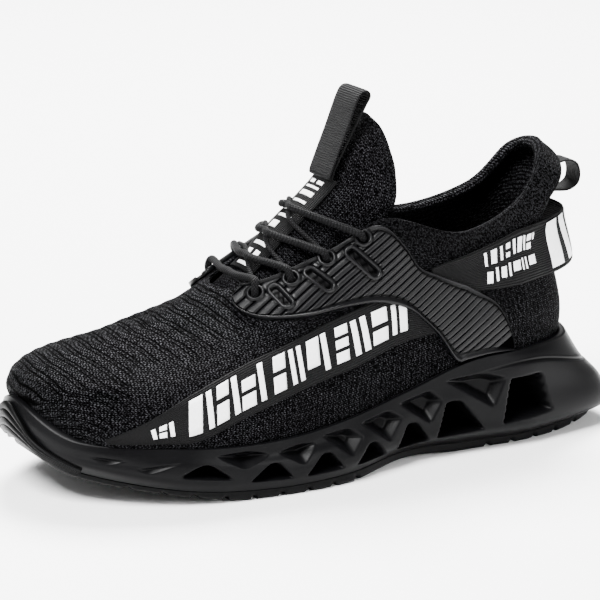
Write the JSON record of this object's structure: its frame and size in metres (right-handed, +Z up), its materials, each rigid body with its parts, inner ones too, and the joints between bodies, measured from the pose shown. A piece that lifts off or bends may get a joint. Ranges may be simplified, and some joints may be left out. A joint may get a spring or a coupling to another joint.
{
  "type": "safety sneaker",
  "caption": "Black knit low lace-up safety sneaker with moulded eyestays, webbing heel strap and pull loops, and a foam sole with rows of openings in its flank",
  "frame": {"origin": "on the floor, under the middle of the shoe", "axes": "+Y from the toe to the heel, +X to the outer side of the left foot, +Z up"},
  "size_m": [0.1184, 0.3086, 0.1704],
  "materials": {
    "sole_rubber": "matte",
    "sole_foam": "satin",
    "knit": "matte",
    "insole_cloth": "matte",
    "webbing": "matte",
    "moulded_trim": "satin",
    "lace_cord": "matte"
  },
  "bodies": {
    "root": {"outsole": "sole_rubber", "midsole": "sole_foam", "upper": "knit", "insole": "insole_cloth", "tongue": "knit", "tongue_tape": "webbing", "eyestay_outer": "moulded_trim", "eyestay_inner": "moulded_trim", "side_tape_outer": "webbing", "side_tape_inner": "webbing", "heel_strap": "webbing", "heel_loop": "webbing", "laces": "lace_cord"}
  },
  "joints": []
}
